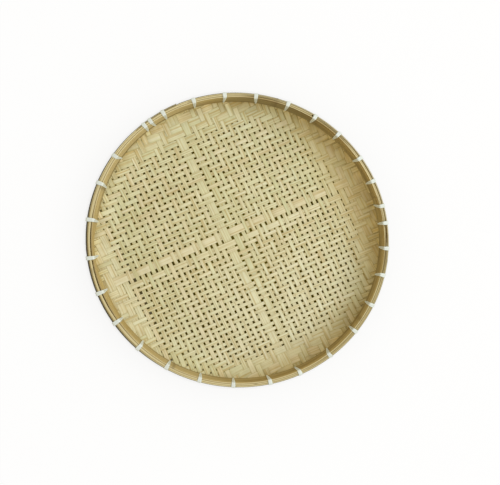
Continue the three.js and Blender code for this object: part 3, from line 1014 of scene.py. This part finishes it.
def lapped_hoop(name, inside, outside, start, lap, lot, finish, marks,
                proud=even, inset=even, notch=even, skin=even):
    """A hoop of a little more than one turn. Its first end lies outside its last one."""
    thickness = outside - inside

    def slope(share):
        return outside - thickness * (LAP_TIP + (1 - 2 * LAP_TIP) * share)

    def section_at(angle):
        first, last = (angle - start) / lap, (angle - FULL_TURN - start) / lap
        inner = slope(first) + LAP_CLEARANCE / 2 if first <= 1 else inside
        outer = slope(last) - LAP_CLEARANCE / 2 if last >= 0 else outside + proud(angle)
        top = RIM_TOP + wave(angle, *TOP_WAVE, lot)
        bottom = HOOP_BOTTOM + notch(angle) + wave(angle, *BOTTOM_WAVE, lot + 1)
        brow = HOOP_CORNER + skin(angle)
        return strip_section(inner - inset(angle), outer - inset(angle), bottom, top, HOOP_BELLY, brow)

    return bent_strip(name, start, start + FULL_TURN + lap, section_at, lot, finish, marks)


outer_hoop = lapped_hoop("split_cane_outer_hoop", OUTER_HOOP_INSIDE, RIM_RADIUS, OUTER_LAP_START, OUTER_LAP,
                         OUTER_LOT, OUTER_FINISH, OUTER_MARKS, proud=proud_at, skin=skin_at)
hand_over(outer_hoop, "hoop", "outer_hoop")
inner_hoop = lapped_hoop("split_cane_inner_hoop", INNER_HOOP_INSIDE, INNER_HOOP_OUTSIDE, INNER_LAP_START,
                         INNER_LAP, INNER_LOT, INNER_FINISH, INNER_MARKS, inset=inset_at, notch=notch_at)
hand_over(inner_hoop, "hoop", "inner_hoop")

# %% [markdown]
# The filler covers the cut ends of the splints and nearly fills the room between the hoops. Where the
# rim has opened it stays with the outer hoop, so a dark groove shows beside the inner one, and at one
# short place at the right it has sunk. It is a bent strip as the hoops are, so the same skin makes it,
# from sections that ask the hoops how much room they leave.

# %% Filler strip
FILLER_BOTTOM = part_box("rim_filler")[0].z
FILLER_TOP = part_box("rim_filler")[1].z
FILLER_SPLIT = math.radians(60)
FILLER_END_GAP = math.radians(0.5)
FILLER_GROOVE = 1.4 * MM  # between the filler and the inner hoop
GROOVE_STRETCH = (192, 20)
FILLER_CLEARANCE = 0.08 * MM  # to either hoop where the rim is closed
FILLER_RAISED = 0.4 * MM
FILLER_SUNK = 2.6 * MM
SUNK_STRETCH = (4, 4.5)
FILLER_BROW = 0.25  # share of the filler that its skin rounds off, and twice that in the stretch at the right
FILLER_WAVE = (0.2 * MM, 3, 8, 1.7)


def filler_section(angle):
    inside = INNER_HOOP_OUTSIDE - inset_at(angle) + FILLER_CLEARANCE
    inside += FILLER_GROOVE * around(angle, *GROOVE_STRETCH)
    outside = OUTER_HOOP_INSIDE - FILLER_CLEARANCE
    sunk = FILLER_SUNK * around(angle, *SUNK_STRETCH)
    top = FILLER_TOP + FILLER_RAISED - sunk + wave(angle, *FILLER_WAVE)
    brow = (outside - inside) * FILLER_BROW * (1 + around(angle, *FILLER_MARKS["right_stretch"][0]))
    return strip_section(inside, outside, FILLER_BOTTOM - sunk, top, 0, brow)


filler_start = FILLER_SPLIT + FILLER_END_GAP / 2
filler_end = FILLER_SPLIT + FULL_TURN - FILLER_END_GAP / 2
filler = bent_strip("thin_filler_strip", filler_start, filler_end, filler_section, FILLER_LOT, FILLER_FINISH,
                    FILLER_MARKS)
hand_over(filler, "hoop", "rim_filler")

# %% [markdown]
# ## Ties
#
# Each tie is a strip of white packing band, folded lengthwise, looped round both hoops and drawn to a
# tip where it goes through the mat. All thirty have the same form, so one band is modelled and a tree
# places it at the uneven angles at which the maker tied it, with a small seeded lean.

# %% Tie finish
TIE_FOLDS = (40, 900)  # per metre, along a tie and across it
DULL_SPOTS = 160.0  # per metre


def tie_finish():
    finish, wire = new_finish("white_packing_band")
    along, across, _ = grain_on(wire)
    folds = wire.noise(wire.point(across * TIE_FOLDS[1], along * TIE_FOLDS[0], 0.0), 2.0, 0.5)
    dull = wire.noise(place_on(wire).times(DULL_SPOTS), 2.0, 0.5)
    colour = coat(wire, paint(232, 241, 243), (
        (folds.ease(0.35, 0.7), paint(200, 212, 212)),
        (dull.ease(0.5, 0.75) * 0.4, paint(212, 216, 202))))
    close_finish(wire, colour, 0.28 + folds * 0.2, relief=folds, strength=0.4, depth=0.2 * MM)
    return finish


TIE_FINISH = tie_finish()
print("finish made:", TIE_FINISH.name)

# %% [markdown]
# A band goes up the outside of the rim, over its top, down the inside to its tip and back below. It
# could be a curve with a bevel, but its width changes on the way. So it is a tube of quads along a path
# of points, each with its own width, and its profile has the two soft folds of the real band.

# %% Path of one band
TIE_WIDTH, TIE_TOP_WIDTH, TIE_SHOULDER, TIE_TIP = 5.2 * MM, 4.6 * MM, 3.6 * MM, 1.5 * MM
TIE_OFF = 0.3 * MM  # between the band and the hoops
TIE_CORNER = 1.0 * MM
CORNER_CUT = 0.3  # share of a corner that the band cuts off
DIAGONAL = 0.707  # each way, of a direction between two sides
TIE_SIDE_STEPS = 8
NEARLY_ALL = 0.999  # keeps a side's last point in its second half


def tie_path():
    """Points of the loop, up the outside first: radius, height, outward direction and width."""
    left, right = INNER_HOOP_INSIDE - TIE_OFF, RIM_RADIUS + TIE_OFF
    low, high = HOOP_BOTTOM - TIE_OFF, RIM_TOP + TIE_OFF
    c = TIE_CORNER
    path = []

    def side(start, end, out, widths):
        for k in range(TIE_SIDE_STEPS + 1):
            share = k / TIE_SIDE_STEPS
            place = Vector(start).lerp(Vector(end), share)
            half, within = divmod(min(share, NEARLY_ALL) * 2, 1)
            width = widths[int(half)] + (widths[int(half) + 1] - widths[int(half)]) * within
            path.append((place.x, place.y, out, width))

    def corner(x, z, out_x, out_z, width):
        out = (DIAGONAL * out_x, DIAGONAL * out_z)
        path.append((x - out_x * CORNER_CUT * c, z - out_z * CORNER_CUT * c, out, width))

    side((right, low + c), (right, high - c), (1, 0), (TIE_TIP, TIE_WIDTH, TIE_WIDTH))
    corner(right, high, 1, 1, TIE_WIDTH)
    side((right - c, high), (left + c, high), (0, 1), (TIE_WIDTH, TIE_WIDTH, TIE_TOP_WIDTH))
    corner(left, high, -1, 1, TIE_TOP_WIDTH)
    side((left, high - c), (left, low + c), (-1, 0), (TIE_TOP_WIDTH, TIE_SHOULDER, TIE_TIP))
    corner(left, low, -1, -1, TIE_TIP)
    side((left + c, low), (right - c, low), (0, -1), (TIE_TIP, TIE_TIP, TIE_TIP))
    corner(right, low, 1, -1, TIE_TIP)
    return path


print("points along a tie:", len(tie_path()))

# %% One folded band
TIE_THICKNESS = 0.35 * MM
TIE_FOLD = 0.35 * MM
FOLD_PROFILE = ((-1.0, 0.0), (-0.55, 1.0), (-0.1, 0.25), (0.5, 0.9), (1.0, 0.05))  # across, raised
RIM_MIDDLE = (HOOP_BOTTOM + RIM_TOP) / 2


def band_mesh():
    """The band as a closed tube: its folded outer side, and the same a thickness further in."""
    places, grain, quads = [], [], []
    path = tie_path()
    round_band = FOLD_PROFILE + FOLD_PROFILE[::-1]
    count = len(round_band)
    along = 0.0
    for k, (radius, z, out, width) in enumerate(path):
        if k:
            along += math.dist(path[k - 1][:2], (radius, z))
        for j, (across, raised) in enumerate(round_band):
            outer = TIE_THICKNESS if j < len(FOLD_PROFILE) else 0
            lift = TIE_FOLD * raised * width / TIE_WIDTH + outer
            x = radius - lean_at(z) - INNER_HOOP_INSIDE + out[0] * lift
            places.append((x, -across * width / 2, z - RIM_MIDDLE + out[1] * lift))
            grain.append((along, across * width / 2, 0.0))
    for k in range(len(path)):
        here, after = k * count, (k + 1) % len(path) * count
        for j in range(count):
            beside = (j + 1) % count
            quads.append((here + j, here + beside, after + beside, after + j))
    mesh = bpy.data.meshes.new("tie_band")
    mesh.from_pydata(places, [], quads)
    store_grain(mesh, grain)
    return mesh


tie_band = add_object("tie_band", band_mesh())
print("one tie:", len(tie_band.data.polygons), "faces")

# %% [markdown]
# The tree puts the band on one seed point for each tie. A point knows its angle, which is read from the
# solid that the tie stands for, and how much wider the rim is there than where it is closed, so every
# band closes round the rim.

# %% Tree that places the ties
def tie_tree():
    tree, given = new_tree("ties_round_the_rim", {
        "Band": "Object", "Lean": "Float", "Seed": "Int", "Finish": "Material"})
    wire = Wire(tree)
    lean = wire.node("FunctionNodeRandomValue", {"data_type": "FLOAT"}, {
        2: given["Lean"] * -1, 3: given["Lean"], "Seed": given["Seed"]}, output=1)
    turn = wire.node("FunctionNodeEulerToRotation", None, {
        "Euler": wire.point(lean, 0.0, own(wire, "angle"))})
    band = wire.node("GeometryNodeObjectInfo", None, {"Object": given["Band"]}, output="Geometry")
    placed = wire.node("GeometryNodeInstanceOnPoints", None, {
        "Points": given["Geometry"], "Instance": band, "Rotation": turn,
        "Scale": wire.point(own(wire, "spread"), 1.0, 1.0)})
    ties = wire.node("GeometryNodeRealizeInstances", None, {"Geometry": placed})
    close_tree(wire, ties, given["Finish"])
    return tree


TIES = tie_tree()
print("tie tree:", len(TIES.nodes), "nodes")

# %% Thirty ties round the rim
TIE_NODES = [f"tie_{k:02d}" for k in range(1, 31)]
TIE_LEAN = math.radians(9)
TIE_SEED = 5


def tie_angle(node):
    """The angle at which a tie's solid stands on the rim, before the rim is drawn out to its oval."""
    low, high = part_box(node)
    middle = OVAL.inverted() @ ((low + high) / 2)
    return math.atan2(middle.y, middle.x) % FULL_TURN


angles = [tie_angle(node) for node in TIE_NODES]
rim_thickness = RIM_RADIUS - INNER_HOOP_INSIDE
feet, spread = [], []
for angle in angles:
    foot = INNER_HOOP_INSIDE - inset_at(angle)
    feet.append((foot * math.cos(angle), foot * math.sin(angle), RIM_MIDDLE))
    spread.append(1 + (proud_at(angle) + inset_at(angle)) / rim_thickness)
tie_seeds = seed_points("tie_seeds", feet, {"angle": angles, "spread": spread})
add_tree(tie_seeds, TIES, {"Band": tie_band, "Lean": TIE_LEAN, "Seed": TIE_SEED, "Finish": TIE_FINISH})
ties = plain_piece(tie_seeds, "packing_band_ties", OVAL)
bpy.data.objects.remove(tie_band)
ties.data.set_sharp_from_angle(angle=SHARP_EDGE)
hand_over(ties, "tie", *TIE_NODES)

# %% [markdown]
# ## Floor, light and background
#
# A plain pale floor under soft studio light. The floor reads as white paper to the camera, and it dims
# where little of the sky reaches it, so the tray keeps its shadow. Where the mat lies on the floor, light
# falls in only through the holes. There the floor carries painted shade, dark, a little less so in the
# middle and towards the rim, so the holes read as holes. The tray may be looked at from below too, so
# the floor is clear from that side, and its dark part gives some light to the underside of the mat.

# %% Floor
FLOOR_SIZE = 12.0
NEAR_SHADE, WIDE_SHADE = 0.025, 0.15  # metres from which the tray still shades the floor
SHADE_EDGE = 20 * MM  # over which the dark part under the mat ends
PAPER_WHITE = 0.94  # share of plain white in what the camera sees of the paper
UNDERSIDE_LIGHT = 0.4  # that the floor gives to the underside of the mat
WHITE = (1.0, 1.0, 1.0, 1.0)
WARM_LIGHT = paint(255, 240, 211)


def shade_on(wire, distance):
    return wire.node("ShaderNodeAmbientOcclusion", {"samples": 8}, {"Distance": distance}, output="AO")


def paper_finish():
    finish, wire = new_finish("pale_paper")
    x, y, _ = place_on(wire).parts()
    radius = (x * x + y * y).root()
    # Painted shade under the mat, a little lighter in the middle and towards the rim
    dark = coat(wire, paint(80, 70, 20), (
        (radius.ease(40 * MM, 100 * MM), paint(60, 50, 4)),
        (radius.ease(FLOOR_RADIUS, RIM_RADIUS), paint(84, 75, 36))))
    beyond_mat = radius.ease(FLOOR_RADIUS, FLOOR_RADIUS + SHADE_EDGE)
    near = shade_on(wire, NEAR_SHADE).ease(0.56, 0.95)
    wide = shade_on(wire, WIDE_SHADE) * 0.1 + 0.9
    lit = near * wide * beyond_mat
    path = wire.node("ShaderNodeLightPath", output="Is Camera Ray")
    seen = path.most(path.also("Is Glossy Ray")).most(path.also("Is Transmission Ray"))
    bounced = path.also("Is Diffuse Ray") * (1 - lit)
    matt = wire.node("ShaderNodeBsdfDiffuse", None, {"Color": wire.blend(lit, dark, paint(246, 246, 244))})
    glow = wire.node("ShaderNodeEmission", None, {"Color": WARM_LIGHT, "Strength": UNDERSIDE_LIGHT})
    bright = wire.node("ShaderNodeEmission", None, {"Color": wire.blend(lit, dark, WHITE), "Strength": 1.0})
    clear = wire.node("ShaderNodeBsdfTransparent")
    under = wire.node("ShaderNodeNewGeometry", output="Backfacing")
    sheet = matt
    for share, over in ((bounced, glow), (seen * PAPER_WHITE, bright), (under, clear)):
        sheet = wire.node("ShaderNodeMixShader", None, {0: share, 1: sheet, 2: over})
    wire.node("ShaderNodeOutputMaterial", None, {"Surface": sheet})
    return finish


half = FLOOR_SIZE / 2
floor_mesh = bpy.data.meshes.new("floor")
corners = [(-half, -half, 0), (half, -half, 0), (half, half, 0), (-half, half, 0)]
floor_mesh.from_pydata(corners, [], [(0, 1, 2, 3)])
floor_mesh.materials.append(paper_finish())
floor = add_object("floor", floor_mesh)
print("floor of", FLOOR_SIZE, "m")

# %% [markdown]
# The light is a warm sky all round and one large, cooler window above the right. A small lamp would cast
# hard shadows, which the photograph lacks, and the sky alone would leave the weave and the rim flat.

# %% World and lamp
SKY_STRENGTH = 0.62
WINDOW_AT = (1.33, 0.23, 2.0)
WINDOW_SIZE = 1.8
WINDOW_POWER = 34.5
WINDOW_COLOUR = (0.92, 0.98, 1.0)


def studio_world():
    world = bpy.data.worlds.new("studio")
    world.use_nodes = True
    world.node_tree.nodes.clear()
    wire = Wire(world.node_tree)
    path = wire.node("ShaderNodeLightPath", output="Is Camera Ray")
    sky = wire.node("ShaderNodeBackground", None, {"Color": WARM_LIGHT, "Strength": SKY_STRENGTH})
    white = wire.node("ShaderNodeBackground", None, {"Color": WHITE, "Strength": 1.0})
    shown = wire.node("ShaderNodeMixShader", None, {0: path, 1: sky, 2: white})
    wire.node("ShaderNodeOutputWorld", None, {"Surface": shown})
    return world


bpy.context.scene.world = studio_world()
window = add_object("window", bpy.data.lights.new("window", "AREA"))
window.data.size = WINDOW_SIZE
window.data.color = WINDOW_COLOUR
window.data.energy = WINDOW_POWER
window.location = WINDOW_AT
window.rotation_euler = (-Vector(WINDOW_AT)).to_track_quat("-Z", "Y").to_euler()
bpy.context.scene.view_settings.view_transform = "Standard"
